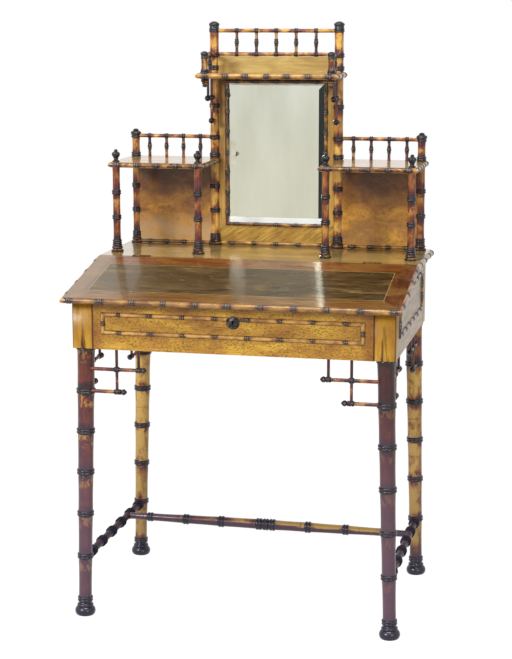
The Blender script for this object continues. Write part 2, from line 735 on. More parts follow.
def metalFinish(name, look):
    rough = look["rough"]
    startMaterial(name, rough, 0.0, 0.1, 1.0)
    tarnish = noise(objectPlace(), 180.0, 4.0, 0.6)
    return endMaterial(ramp(tarnish, look["stops"]), (tarnish, rough - 0.1, rough + 0.15), (tarnish, 0.1, 0.0003))


bamboo = bambooFinish("turnedBamboo", caneLook)
blackBamboo = bambooFinish("blackenedBamboo", {**caneLook, "coat": 0.0, "specular": 0.1})
splitBamboo = bambooFinish("splitBamboo", splitLook)
flamedMaple = blockFinish(blockLook)
silvered = mirrorFinish(mirrorLook)
iron = metalFinish("blackenedIron", ironLook)
print("finishes made")


# boards and metal that stay as the frame has them


def dress(material, *names):
    for name in names:
        nodes[name].data.materials.clear()
        nodes[name].data.materials.append(material)


dress(birdsEyeFinish(birdsEyeLook), "frieze_front")
dress(boardFinish("sideMaple", sideLook), "side_panel_left", "side_panel_right")
dress(boardFinish("plainPine", pineLook), "case_back", "case_floor", "hinge_rail", "mirror_backboard")
dress(boardFinish("polishedTop", flatTopLook), "flat_top")
dress(boardFinish("polishedShelf", shelfLook), "side_shelf_left", "side_shelf_right", "top_shelf")
dress(crossbandFinish(borderLook), "lid_board")
dress(leatherFinish(leatherLook), "lid_leather")
dress(boardFinish("figuredBurr", burrLook), "back_panel_left", "back_panel_right")
dress(boardFinish("goldenStile", stileLook), "mirror_frame")
dress(boardFinish("goldenCrest", crestLook), "crest_board")
dress(metalFinish("agedBrass", brassLook), "strike_plate")
dress(metalFinish("darkBrass", darkBrassLook), "hinge_leaves_fixed", "hinge_leaves_lid", "hinge_pins")
dress(iron, "lock_case", "lock_bolt")
print("boards dressed")


def turned(node, pieces, wood=bamboo):
    # joins turned canes that stand for one node of the desk
    return finish(joinAll(node + "_turned", pieces), wood, "bamboo", "desk", node)


def split(node, pieces, body="desk"):
    return finish(joinAll(node + "_split", pieces), splitBamboo, "moulding", body, node)


# legs

legSet = {
    "rake": math.radians(1.4),
    "topRadius": 0.0192,
    "footRadius": 0.0142,
    "waist": 0.0006,
    "joint": {"half": 0.0062, "proud": 0.0027, "beads": 2},
    "jointCount": 6,
    "firstJoint": 0.510,
    "pitch": 0.0895,
    "growth": 0.0026,
    "foot": [(0.0165, 0), (0.0195, 0.0008), (0.0215, 0.0035), (0.0226, 0.0075), (0.0226, 0.0105),
             (0.0214, 0.0145), (0.0188, 0.0180), (0.0168, 0.0196), (0.0176, 0.0208), (0.0180, 0.0228),
             (0.0172, 0.0248), (0.0150, 0.0262), (0.0138, 0.0285)],
    "blackFoot": 0.032,
    "collar": {"half": 0.0034, "proud": 0.0021, "beads": 1},
    "collarDown": 0.0036,      # from the block to the middle of the collar
    "shaftDown": 0.0072,       # from the block to the end of the shaft
    "inBlock": 0.002,          # how far the collar reaches into the block
    "blackCollar": 0.0035,     # from the end of the shaft to the start of its black
    "steps": 32,
    "darker": {"leg_back_right": [(0.508, 0.7, 0.7), (0, 0.08, 0.6)], "leg_back_left": [(0, 0.05, 0.35)],
               "leg_front_left": [(0.572, 0.7, 0.97)], "leg_front_right": [(0.53, 0.7, 1.12)]},
    "tones": {"leg_front_left": 0.86, "leg_front_right": 1.0, "leg_back_left": -0.06, "leg_back_right": 0.17},
}
blockSet = {"frontUncut": 0.03, "clear": 0.0004, "edge": 0.0014}


def legShaft():
    # the joints stand a little wider apart towards the floor
    joint, joints = legSet["joint"], []
    for number in range(legSet["jointCount"]):
        down = legSet["pitch"] * number + legSet["growth"] * number * (number - 1) / 2
        joints.append(legSet["firstJoint"] - down)
    neck, top, radius = legSet["foot"][-1][1], caseLow - legSet["shaftDown"], legSet["topRadius"]
    points = [(0, 0)] + legSet["foot"]
    points += cane(neck, top, legSet["footRadius"], radius, joints, joint, legSet["waist"])[1:]
    points += beads(caseLow - legSet["collarDown"], radius, legSet["collar"])[1:]
    points += closed([(radius, caseLow + legSet["inBlock"])])[1:]
    dark = spans(joints, joint, (-1, legSet["blackFoot"]), (top + legSet["blackCollar"], 1))
    return turn("legShaft", points, legSet["steps"]), dark


def squareBlock(name, x, y, top):
    height = top - caseLow
    block = startShape(bpy.ops.mesh.primitive_cube_add, name, size=1, location=(0, 0, height / 2),
                       scale=(blockHalf * 2, blockHalf * 2, height))
    bpy.ops.object.transform_apply(location=True, scale=True)
    edge = block.modifiers.new("roundedEdges", "BEVEL")
    edge.width = blockSet["edge"]
    edge.segments = 3
    applyAll(block)
    smooth(block, 20)
    stain(block, [], 0, x * 9 + y * 5)
    write(block, "canePlace", [part for vertex in block.data.vertices for part in vertex.co])
    return stand(block, x, y, caseLow)


def makeLegs():
    shaft, dark = legShaft()
    for number, (name, tone) in enumerate(legSet["tones"].items()):
        side = -1 if name.endswith("left") else 1
        x = blockX * side
        if "front" in name:
            y = frontLegY
            block = squareBlock(name + "_block", x, y, topZ - blockSet["frontUncut"])
            saw(block, slopeMatrix @ Vector((0, 0, -slopeSet["thick"] - blockSet["clear"])), -slopeNormal)
        else:
            y = backLegY
            block = squareBlock(name + "_block", x, y, flatLow.z - blockSet["clear"])
        block.data.materials.append(flamedMaple)
        leg = copyOf(shaft, name + "_cane")
        stain(leg, dark, tone, 3 + number * 2.3, legSet["darker"][name])
        leg.data.materials.append(bamboo)
        lean = Matrix.Rotation(-side * legSet["rake"], 4, "Y")
        settle(leg, Matrix.Translation((x, y, caseLow)) @ lean @ Matrix.Translation((0, 0, -caseLow)))
        declare(joinAll(name + "_turned", [block, leg]), "bamboo", "desk", name)
    drop(shaft)


makeLegs()
print("legs turned")


# stretchers

stretcherSet = {
    "height": 0.132,
    "crossY": 0.117,
    "sideInset": 0.01,       # from the middle of a leg to the end of the stick in it
    "sideRadius": 0.0086,
    "sideWaist": 0.0006,
    "sideTone": 1.1,
    "sideJoint": {"half": 0.0100, "proud": 0.0036, "beads": 3},
    "sideJoints": [0.036, 0.108, 0.180, 0.252, 0.324, 0.392],
    "crossInset": 0.006,
    "crossRadius": 0.0076,
    "crossWaist": 0.0004,
    "crossSwell": 0.0040,
    "crossJoint": {"half": 0.0070, "proud": 0.0024, "beads": 2},
    "crossPlaces": [-0.281, -0.193, -0.107, -0.016, 0, 0.016, 0.101, 0.19, 0.278],
    "crossTones": (0.92, -0.14),     # left, right
    "fadeStart": 0.1,
    "fadeLong": 0.24,
    "blackTone": 1.04,
    "blackEdges": (0.3, 0.2),        # how far up its sides the black comes, left and right of a place
    "edgePlace": 0.09,
    "blackEnd": 0.045,
}


def makeSideStretchers():
    start, end = frontLegY + stretcherSet["sideInset"], backLegY - stretcherSet["sideInset"]
    radius, joints, joint = stretcherSet["sideRadius"], stretcherSet["sideJoints"], stretcherSet["sideJoint"]
    points = cane(0, end - start, radius, radius, joints, joint, stretcherSet["sideWaist"])
    stick = turn("sideStretcher", closed(points))
    for number, (sideName, side) in enumerate(sides.items()):
        piece = copyOf(stick, "stretcherCopy")
        stain(piece, spans(joints, joint), stretcherSet["sideTone"], 20 + number)
        settle(piece, along((stretcherX * side, start, stretcherSet["height"]), yAxis))
        turned("stretcher_" + sideName, [piece], blackBamboo)
    drop(stick)


def makeCrossStretcher():
    half = stretcherX - stretcherSet["crossInset"]
    radius, joint = stretcherSet["crossRadius"], stretcherSet["crossJoint"]
    joints = [half + place for place in stretcherSet["crossPlaces"]]
    # it swells towards its middle
    points = [(size + stretcherSet["crossSwell"] * math.sin(math.pi * reach / (half * 2)), reach)
              for size, reach in cane(0, half * 2, radius, radius, joints, joint, stretcherSet["crossWaist"])]
    piece = turn("crossStretcher", closed(points))
    stain(piece, spans(joints, joint), 0, 27)
    # its underside and right end are black, its top fades from dark on the left to golden
    tones = []
    leftTone, rightTone = stretcherSet["crossTones"]
    leftEdge, rightEdge = stretcherSet["blackEdges"]
    for vertex in piece.data.vertices:
        across, up, reach = vertex.co
        share = min(max((reach - stretcherSet["fadeStart"]) / stretcherSet["fadeLong"], 0), 1)
        edge = leftEdge if reach < half + stretcherSet["edgePlace"] else rightEdge
        isBlack = up < math.hypot(across, up) * edge or reach > half * 2 - stretcherSet["blackEnd"]
        tones.append(stretcherSet["blackTone"] if isBlack else leftTone + (rightTone - leftTone) * share)
    write(piece, "caneTone", tones)
    settle(piece, along((-half, stretcherSet["crossY"], stretcherSet["height"]), xAxis))
    turned("stretcher_cross", [piece])


stretcherX = blockX + (caseLow - stretcherSet["height"]) * math.tan(legSet["rake"])
makeSideStretchers()
makeCrossStretcher()
print("stretchers turned")


# stepped brackets of thin sticks

bracketSet = {
    "stick": 0.0040,
    "upright": 0.0032,
    "knot": {"half": 0.0062, "proud": 0.0022, "beads": 2},
    "uprightKnot": 0.004,
    "acorn": 0.0068,
    "acornLong": 0.0165,
    "seam": 0.0005,       # between a stick and its acorn
    "tone": 0.8,
    "uprightDarker": 0.12,
    "steps": 14,
    "uprightSteps": 12,
    "offset": 0.009,      # the lower brackets stand this far outside the middle of the legs
    "caseRoot": 0.013,
    "caseSteps": [(0.071, 0.093, 0.512), (0.120, 0.138, 0.561)],
    "shelfRoot": 0.008,
    "shelfSteps": [(0.029, 0.040, 1.067), (0.061, 0.074, 1.120)],
}


def acornEnd(tip, stick, fat, longPart):
    # small ring, then an acorn that ends in a point
    shape = ((0, stick), (0.06, stick * 1.5), (0.16, stick * 1.5), (0.22, stick), (0.36, fat * 0.85),
             (0.55, fat), (0.74, fat * 0.8), (0.9, fat * 0.42), (0.97, fat * 0.2))
    return [(radius, tip - longPart + longPart * share) for share, radius in shape]


def levelStick(root, tip, crossings, seed):
    radius, knot = bracketSet["stick"], bracketSet["knot"]
    end = tip - bracketSet["acornLong"]
    points = cane(root, end - bracketSet["seam"], radius, radius, crossings, knot)
    points += acornEnd(tip, radius, bracketSet["acorn"], bracketSet["acornLong"])
    stick = turn("levelStick", [(0, root)] + points + [(0, tip)], bracketSet["steps"])
    return stain(stick, spans(crossings, knot, (end, tip)), bracketSet["tone"], seed)


def uprightStick(length, crossing, seed):
    radius, knot = bracketSet["upright"], bracketSet["uprightKnot"]
    points = [(radius, length * third / 3) for third in range(4)]
    stick = turn("uprightStick", closed(points), bracketSet["uprightSteps"])
    return stain(stick, [(crossing - knot, crossing + knot)], bracketSet["tone"] + bracketSet["uprightDarker"], seed)


def steppedBracket(corner, direction, roof, steps, root, seed):
    # steps: (reach of the upright, reach of the tip, height), the low one first
    (nearReach, lowTip, lowHeight), (farReach, highTip, highHeight) = steps
    corner, direction = Vector(corner), Vector(direction)
    pieces = []
    levels = ((lowTip, lowHeight, [nearReach]), (highTip, highHeight, [nearReach, farReach]))
    for tip, height, crossings in levels:
        stick = levelStick(root, tip, crossings, seed + height)
        pieces.append(settle(stick, along(corner + zAxis * height, direction)))
    for reach, height in ((nearReach, lowHeight), (farReach, highHeight)):
        stick = uprightStick(roof - height, highHeight - height, seed + reach)
        pieces.append(settle(stick, along(corner + direction * reach + zAxis * height, zAxis)))
    return pieces


def makeBrackets():
    offset, steps, root = bracketSet["offset"], bracketSet["caseSteps"], bracketSet["caseRoot"]
    for number, (sideName, side) in enumerate(sides.items()):
        line = (blockX + offset) * side
        pair = []
        for y, inward in ((frontLegY, 1), (backLegY, -1)):
            pair += steppedBracket((line, y, 0), (0, inward, 0), caseLow, steps, root, 31 + y + number)
        turned("brackets_side_" + sideName, pair)
        corner = (blockX * side, frontLegY - offset, 0)
        turned("bracket_front_" + sideName, steppedBracket(corner, (-side, 0, 0), caseLow, steps, root, 35 + number))
    steps, root, sticks = bracketSet["shelfSteps"], bracketSet["shelfRoot"], []
    for side in sides.values():
        corner = (postX * side, postY, 0)
        sticks += steppedBracket(corner, (0, -1, 0), topShelfLow.z, steps, root, 38 + side)
    turned("shelf_brackets", sticks)


# columns, posts and finials of the raised back

postX, postY = 0.146, 0.231
outerX, columnY = 0.3375, 0.071
postSet = {
    "columnRadius": 0.0085,
    "columnWaist": 0.0005,
    "outerRadius": 0.0092,
    "tallRadius": 0.0106,
    "postWaist": 0.0006,
    "postSteps": 28,
    "tip": 0.0002,             # how far the middle of a cap stands over its edge
    "seam": 0.001,             # between a foot, a shaft and a cap
    "joint": {"half": 0.0050, "proud": 0.0022, "beads": 2},
    "foot": [(0.0136, 0), (0.0142, 0.0015), (0.0140, 0.0040), (0.0118, 0.0055), (0.0105, 0.0065),
             (0.0122, 0.0080), (0.0126, 0.0100), (0.0116, 0.0120), (0.0098, 0.0130), (0.0112, 0.0145),
             (0.0112, 0.0165), (0.0095, 0.0185)],
    "footFits": 0.0093,        # the thickest stick that the foot fits as it is
    "footRings": [(-1, 0.0044), (0.0072, 0.0122), (0.0143, 0.0185)],
    "columnJoints": [0.798, 0.854, 0.911],
    "outerJoints": [0.798, 0.854, 0.911, 0.985, 1.028],
    "tallJoints": [0.797, 0.857, 0.913, 0.986, 1.027, 1.100, 1.187, 1.216],
    "columnTone": 0.66,
    "outerTone": 0.56,
    "tallTone": 0.3,
}
capSet = {
    "tall": [(0.0108, 0), (0.0120, 0.0006), (0.0123, 0.0020), (0.0118, 0.0034), (0.0110, 0.0040),
             (0.0119, 0.0050), (0.0122, 0.0066), (0.0116, 0.0080), (0.0109, 0.0092), (0.0109, 0.0140),
             (0.0119, 0.0152), (0.0124, 0.0172), (0.0119, 0.0192), (0.0100, 0.0208), (0.0070, 0.0228),
             (0.0036, 0.0242)],
    "outer": [(0.0088, 0), (0.0112, 0.0012), (0.0128, 0.0040), (0.0118, 0.0064), (0.0085, 0.0084),
              (0.0062, 0.0096), (0.0066, 0.0112), (0.0052, 0.0130), (0.0024, 0.0140)],
}
finialTip = 0.0003
finialSet = [(0.0080, 0), (0.0084, 0.0012), (0.0078, 0.0028), (0.0052, 0.0040), (0.0044, 0.0058), (0.0056, 0.0072),
             (0.0052, 0.0086), (0.0062, 0.0100), (0.0088, 0.0142), (0.0095, 0.0178), (0.0084, 0.0210), (0.0048, 0.0232),
             (0.0036, 0.0242), (0.0044, 0.0256), (0.0040, 0.0272), (0.0020, 0.0284)]


def post(radius, heights, length, waist):
    # a foot and a jointed cane, up to the length; its heights are counted from the flat top
    joint = postSet["joint"]
    joints = [height - topZ for height in heights]
    grow = max(radius / postSet["footFits"], 1)
    foot = [(size * grow, height) for size, height in postSet["foot"]]
    shaft = cane(foot[-1][1] + postSet["seam"], length, radius, radius, joints, joint, waist)
    return [(0, 0)] + foot + shaft, spans(joints, joint) + postSet["footRings"]


def makeColumns():
    length = shelfLow.z - topZ
    points, dark = post(postSet["columnRadius"], postSet["columnJoints"], length, postSet["columnWaist"])
    column = turn("column", points + [(0, length)])
    for number, (sideName, side) in enumerate(sides.items()):
        for placeName, x in (("outer", outerX), ("inner", postX)):
            piece = copyOf(column, "columnCopy")
            stain(piece, dark, postSet["columnTone"], 40 + number + x * 9)
            turned("column_" + placeName + "_" + sideName, [stand(piece, x * side, columnY, topZ)])
    drop(column)


def makePost(kind, seed, side, sideName):
    node = kind + "_post_" + sideName
    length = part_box(kind + "_post_right")[1].z - topZ
    cap = capSet[kind]
    capLow = length - cap[-1][1]
    end = capLow - postSet["seam"]
    points, dark = post(postSet[kind + "Radius"], postSet[kind + "Joints"], end, postSet["postWaist"])
    points += [(size, capLow + height) for size, height in cap]
    piece = turn(kind + "Post", points + [(0, length + postSet["tip"])], postSet["postSteps"])
    stain(piece, dark + [(capLow - postSet["seam"] / 2, 2)], postSet[kind + "Tone"], seed)
    turned(node, [stand(piece, (postX if kind == "tall" else outerX) * side, postY, topZ)])


def makePosts():
    for number, (sideName, side) in enumerate(sides.items()):
        makePost("tall", 60 + number, side, sideName)
        makePost("outer", 64 + number, side, sideName)


def makeFinials():
    first = turn("finial", [(0, 0)] + finialSet + [(0, finialSet[-1][1] + finialTip)])
    finials = []
    for side in sides.values():
        for x in (outerX, postX):
            finial = stain(copyOf(first, "finialCopy"), [(-1, 9)], 1.0, 50 + side + x)
            finials.append(stand(finial, x * side, columnY, shelfHigh.z))
    drop(first)
    turned("column_finials", finials)


makeColumns()
makePosts()
makeFinials()
makeBrackets()
print("columns, posts and brackets turned")


# galleries

gallerySet = {
    "rail": 0.0045,
    "railWaist": 0.0002,
    "steps": 16,
    "railJoint": {"half": 0.0042, "proud": 0.0017, "beads": 2},
    "railTone": 0.36,
    "spindleTone": 0.72,
    "spindle": [(0.0, 0.0038), (0.1, 0.0036), (0.24, 0.0034), (0.34, 0.0037), (0.36, 0.0046), (0.39, 0.0046),
                (0.41, 0.0040), (0.45, 0.0050), (0.5, 0.0054), (0.55, 0.0050), (0.59, 0.0040), (0.61, 0.0046),
                (0.64, 0.0046), (0.66, 0.0037), (0.76, 0.0034), (0.9, 0.0036), (1.0, 0.0038)],
    "spindleDark": (0.35, 0.65),     # the bulge, as shares of the length
    "spindleEnds": (0.06, 0.94),
    "sideHeight": 1.028,
    "sidePlaces": [0.181, 0.222, 0.263, 0.304],
    "crestHeights": (1.218, 1.271),
    "crestPlaces": [-0.0928, -0.0464, 0, 0.0464, 0.0928],
}
cornerSet = {
    "x": 0.1455,
    "y": 0.137,
    "post": [(0.0098, 0), (0.0101, 0.0014), (0.0096, 0.0030), (0.0082, 0.0038), (0.0088, 0.0048),
             (0.0090, 0.0062), (0.0084, 0.0076), (0.0074, 0.0088), (0.0070, 0.0140), (0.0070, 0.0240),
             (0.0074, 0.0300), (0.0080, 0.0325), (0.0084, 0.0340), (0.0078, 0.0354), (0.0078, 0.0400),
             (0.0086, 0.0412), (0.0091, 0.0428), (0.0088, 0.0446), (0.0076, 0.0458), (0.0056, 0.0474),
             (0.0028, 0.0486)],
    "pendant": [(0.0018, 0.0002), (0.0042, 0.0012), (0.0053, 0.0032), (0.0050, 0.0050), (0.0042, 0.0060),
                (0.0060, 0.0072), (0.0068, 0.0088), (0.0062, 0.0102), (0.0056, 0.0110), (0.0080, 0.0126),
                (0.0088, 0.0146), (0.0080, 0.0164), (0.0074, 0.0172), (0.0096, 0.0186), (0.0098, 0.0200)],
    "postDark": [(-1, 0.0086), (0.0318, 0.0358), (0.0402, 1)],
    "pendantDark": [(-1, 0.0058), (0.0104, 0.0118), (0.0164, 0.0178)],
    "pendantDrop": 0.020,
    "tip": 0.0002,
    "tone": 0.85,
}


def spindle(x, y, low, high, seed):
    length, steps = high - low, gallerySet["steps"]
    (bulgeLow, bulgeHigh), (footEnd, headStart) = gallerySet["spindleDark"], gallerySet["spindleEnds"]
    piece = turn("spindle", closed([(radius, share * length) for share, radius in gallerySet["spindle"]]), steps)
    dark = [(length * bulgeLow, length * bulgeHigh), (-1, length * footEnd), (length * headStart, 1)]
    stain(piece, dark, gallerySet["spindleTone"], seed)
    return stand(piece, x, y, low)


def rail(start, direction, length, joints, seed):
    radius, joint = gallerySet["rail"], gallerySet["railJoint"]
    points = cane(0, length, radius, radius, joints, joint, gallerySet["railWaist"])
    piece = turn("rail", closed(points), gallerySet["steps"])
    stain(piece, spans(joints, joint), gallerySet["railTone"], seed)
    return settle(piece, along(start, direction))


def makeSideGalleries():
    height, places = gallerySet["sideHeight"], gallerySet["sidePlaces"]
    joints = [place - postX for place in places]
    for number, (sideName, side) in enumerate(sides.items()):
        start = (postX * side, postY, height)
        pieces = [rail(start, xAxis * side, outerX - postX, joints, 70 + number)]
        pieces += [spindle(place * side, postY, shelfHigh.z, height, 72 + place * 30 + side) for place in places]
        turned("gallery_" + sideName, pieces)


def makeCrestGalleries():
    (low, high), places = gallerySet["crestHeights"], gallerySet["crestPlaces"]
    joints = [place + postX for place in places]
    pieces = [rail((-postX, postY, height), xAxis, postX * 2, joints, 80 + height) for height in (low, high)]
    pieces += [spindle(place, postY, low, high, 84 + place * 30) for place in places]
    turned("crest_gallery", pieces)

    length, pieces = postY - cornerSet["y"], []
    for side in sides.values():
        x = cornerSet["x"] * side
        pieces.append(rail((x, cornerSet["y"], low), yAxis, length, [length / 2], 90 + side))
        pieces.append(spindle(x, cornerSet["y"] + length / 2, topShelfHigh.z, low, 92 + side))
    turned("crest_side_galleries", pieces)


def makeCornerPosts():
    top, down, tone = cornerSet["post"][-1][1] + cornerSet["tip"], cornerSet["pendantDrop"], cornerSet["tone"]
    first = turn("cornerPost", [(0, 0)] + cornerSet["post"] + [(0, top)])
    pendant = turn("pendant", [(0, 0)] + cornerSet["pendant"] + [(0, down)])
    pieces = []
    for side in sides.values():
        x, y = cornerSet["x"] * side, cornerSet["y"]
        above = stain(copyOf(first, "cornerPostCopy"), cornerSet["postDark"], tone, 100 + side)
        below = stain(copyOf(pendant, "pendantCopy"), cornerSet["pendantDark"], tone, 103 + side)
        pieces += [stand(above, x, y, topShelfHigh.z), stand(below, x, y, topShelfLow.z - down)]
    drop(first, pendant)
    turned("corner_posts", pieces)


makeSideGalleries()
makeCrestGalleries()
makeCornerPosts()
print("galleries turned")


# split-bamboo mouldings

wideLook = {"radius": 0.006, "joint": {"half": 0.0056, "proud": 0.0010, "beads": 2}, "tone": 0.46}
thinLook = {"radius": 0.004, "joint": {"half": 0.0046, "proud": 0.0010, "beads": 2}, "tone": 0.42, "steps": 16}


def evenly(length, count, margin):
    # joint places along a strip, the same distance apart and a margin from both ends
    return [margin + (length - margin * 2) * number / (count - 1) for number in range(count)]


def framePath(half, low, high, y):
    return [(-half, y, low), (half, y, low), (half, y, high), (-half, y, high)]


lidEdgeSet = {
    "backEnd": -0.003,
    "frontPitch": 0.0694,
    "frontPlaces": range(-5, 6),      # in pitches from the middle
    "sideJoints": [0.033, 0.101, 0.169, 0.236],
}


def makeLidMoulding():
    length, back, mid = slopeSet["length"], lidEdgeSet["backEnd"], -slopeSet["thick"] / 2
    path = [(-topHalf, back, mid), (-topHalf, -length, mid), (topHalf, -length, mid), (topHalf, back, mid)]
    front = [topHalf + lidEdgeSet["frontPitch"] * number for number in lidEdgeSet["frontPlaces"]]
    fromCorner = lidEdgeSet["sideJoints"]
    joints = [sorted(length + back - place for place in fromCorner), front, fromCorner]
    split("lid_moulding", [runMoulding("lidEdge", path, [-xAxis, -yAxis, xAxis], joints, {**wideLook, "seed": 110},
                                       matrix=slopeMatrix)], "lid")


flatEdgeSet = {
    "past": 0.003, "jointCount": 3, "jointMargin": 0.05,
    "ball": [(0, -0.0075), (0.0042, -0.0062), (0.0066, -0.0034), (0.0075, 0), (0.0066, 0.0034), (0.0042, 0.0062),
             (0, 0.0075)],
}


def makeFlatTopMoulding():
    mid, end = (flatLow.z + flatHigh.z) / 2, topBack + flatEdgeSet["past"]
    joints = evenly(end - flatLow.y, flatEdgeSet["jointCount"], flatEdgeSet["jointMargin"])
    strips = []
    for side in sides.values():
        x = topHalf * side
        strips.append(runMoulding("flatEdge", [(x, flatLow.y, mid), (x, end, mid)], [xAxis * side], [joints],
                                  {**wideLook, "seed": 116 + side}))
        ball = stain(turn("cornerBall", flatEdgeSet["ball"]), [(-1, 9)], 1.0, 118 + side)
        strips.append(stand(ball, x, topBack, mid))
    split("flat_top_moulding", strips)


keyPlateLow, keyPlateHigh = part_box("escutcheon")
keyPlateSet = {
    "x": (keyPlateLow.x + keyPlateHigh.x) / 2,
    "z": (keyPlateLow.z + keyPlateHigh.z) / 2,
    "radius": 0.014,
    "clear": 0.0002,
    "outline": [(0.0140, 0), (0.0140, 0.0010), (0.0132, 0.0020), (0.0120, 0.0024), (0.0110, 0.0018),
                (0.0102, 0.0014), (0.0086, 0.0020), (0.0060, 0.0030), (0.0030, 0.0034)],
    "eye": 0.0023,
    "eyeUp": 0.0022,
    "slotWide": 0.0024,
    "slotLong": 0.0062,
    "slotDown": 0.0012,
}


def makeFriezeMoulding():
    half, low, high = friezeFrameSet["half"], friezeFrameSet["low"], friezeFrameSet["high"]
    count, pitch = friezeFrameSet["count"], friezeFrameSet["pitch"]
    level = [half + pitch * (number + 0.5) for number in range(-count // 2, count // 2)]
    end = [(high - low) / 2]
    piece = runMoulding("friezeFrame", framePath(half, low, high, caseFront), [-yAxis] * 4, [level, end, level, end],
                        {**thinLook, "seed": 120, "tone": friezeFrameSet["tone"]}, loop=True)
    # room for the key plate, which the upper strip runs up to
    drill = startShape(bpy.ops.mesh.primitive_cylinder_add, "drill", vertices=48, depth=0.03,
                       radius=keyPlateSet["radius"] + keyPlateSet["clear"],
                       location=(keyPlateSet["x"], caseFront, keyPlateSet["z"]), rotation=(math.pi / 2, 0, 0))
    cutOut(piece, drill)
    split("frieze_moulding", [piece])


def makeKeyPlate():
    outline = keyPlateSet["outline"]
    plate = turn("escutcheon_chased", [(0, 0)] + outline + [(0, outline[-1][1])], 48)
    eye = startShape(bpy.ops.mesh.primitive_cylinder_add, "eye", vertices=20, radius=keyPlateSet["eye"], depth=0.02,
                     location=(0, keyPlateSet["eyeUp"], 0))
    slot = startShape(bpy.ops.mesh.primitive_cube_add, "slot", size=1, location=(0, -keyPlateSet["slotDown"], 0),
                      scale=(keyPlateSet["slotWide"], keyPlateSet["slotLong"], 0.021))
    cutOut(plate, eye, slot)
    smooth(plate, 30)
    settle(plate, along((keyPlateSet["x"], caseFront, keyPlateSet["z"]), -yAxis, zAxis))
    finish(plate, iron, "blackened_iron", "desk", "escutcheon")


sideFrameSet = {
    "front": -0.169, "back": 0.185, "low": 0.650,
    "down": 0.026,           # from the tops to the upper strips
    "bendPast": 0.004,       # from the hinge line to the bend
    "lidClear": 0.0003,
    "joint": {"half": 0.0085, "proud": 0.0012, "beads": 3},
    "margin": 0.03,
    "backShares": (0.35, 0.7),
    "tone": 0.85,
}


def makeSideMoulding():
    front, back, low, margin = [sideFrameSet[key] for key in ("front", "back", "low", "margin")]
    bend, highBack = slopeSet["hingeY"] + sideFrameSet["bendPast"], flatLow.z - sideFrameSet["down"]
    lidUnder = slopeSet["thick"] / math.cos(slopeSet["angle"]) + sideFrameSet["lidClear"]
    fall = (slopeSet["hingeY"] - front) * math.tan(slopeSet["angle"])
    highFront = topZ - fall - lidUnder - sideFrameSet["down"]
    corners = [(front, low), (back, low), (back, highBack), (bend, highBack), (front, highFront)]
    lengths = [math.dist(start, end) for start, end in zip(corners, corners[1:] + corners[:1])]
    joints = [evenly(lengths[0], 6, margin), [lengths[1] * share for share in sideFrameSet["backShares"]],
              evenly(lengths[2], 3, margin), evenly(lengths[3], 4, margin), [lengths[4] / 2]]
    frames = []
    for side in sides.values():
        path = [(caseSide * side, y, z) for y, z in corners]
        strip = {**thinLook, "seed": 130 + side, "tone": sideFrameSet["tone"], "joint": sideFrameSet["joint"]}
        frames.append(runMoulding("sideFrame", path, [xAxis * side] * 5, joints, strip, loop=True))
    split("side_moulding", frames)


shelfEdgeSet = {"radius": 0.005, "tone": 0.78, "endMargin": 0.014, "margin": 0.016}


def makeShelfMoulding():
    mid = (shelfLow.z + shelfHigh.z) / 2
    front, back, inner, outer = shelfLow.y, shelfHigh.y, shelfLow.x, shelfHigh.x
    margin = shelfEdgeSet["margin"]
    joints = [evenly(back - front, 5, shelfEdgeSet["endMargin"]), evenly(outer - inner, 5, margin),
              evenly(frameFront - front, 4, margin)]
    pieces = []
    for side in sides.values():
        path = [(x * side, y, mid) for x, y in ((outer, back), (outer, front), (inner, front), (inner, frameFront))]
        strip = {**wideLook, "seed": 150 + side, "tone": shelfEdgeSet["tone"], "radius": shelfEdgeSet["radius"]}
        pieces.append(runMoulding("shelfEdge", path, [xAxis * side, -yAxis, -xAxis * side], joints, strip))
    split("shelf_moulding", pieces)


topShelfEdgeSet = {"radius": 0.0054, "tone": 0.34, "endMargin": 0.014, "margin": 0.016}


def makeTopShelfMoulding():
    mid = (topShelfLow.z + topShelfHigh.z) / 2
    front, back, half = topShelfLow.y, topShelfHigh.y, topShelfHigh.x
    path = [(-half, back, mid), (-half, front, mid), (half, front, mid), (half, back, mid)]
    end = evenly(back - front, 3, topShelfEdgeSet["endMargin"])
    joints = [end, evenly(half * 2, 7, topShelfEdgeSet["margin"]), end]
    strip = {**wideLook, "seed": 160, "tone": topShelfEdgeSet["tone"], "radius": topShelfEdgeSet["radius"]}
    split("top_shelf_moulding", [runMoulding("topShelfEdge", path, [-xAxis, -yAxis, xAxis], joints, strip)])


mirrorFrameSet = {"gap": 0.001, "lowest": 0.853, "pitch": 0.0467, "sideCount": 7, "crossPitch": 0.0466, "tone": 0.85}


def makeMirrorMoulding():
    half = glassHigh.x + mirrorFrameSet["gap"]
    low, high = glassLow.z - mirrorFrameSet["gap"], glassHigh.z + mirrorFrameSet["gap"]
    level = [half + mirrorFrameSet["crossPitch"] * number for number in range(-2, 3)]
    lowest, pitch = mirrorFrameSet["lowest"], mirrorFrameSet["pitch"]
    heights = [lowest + pitch * number for number in range(mirrorFrameSet["sideCount"])]
    joints = [level, [height - low for height in heights], level, [high - height for height in heights]]
    strip = {**thinLook, "seed": 170, "tone": mirrorFrameSet["tone"]}
    path = framePath(half, low, high, frameFront)
    split("mirror_moulding", [runMoulding("mirrorFrame", path, [-yAxis] * 4, joints, strip, loop=True)])


footStripSet = {
    "up": 0.005, "middlePitch": 0.053,
    "gaps": (0.016, 0.014, 0.012),     # to the tall posts inside and outside, and to the outer posts
    "sideMargin": 0.02, "sideTone": 0.7,
}


def footStrip(start, end, y, joints, strip):
    height = topZ + footStripSet["up"]
    return runMoulding("footStrip", [(start, y, height), (end, y, height)], [-yAxis], [joints], strip)


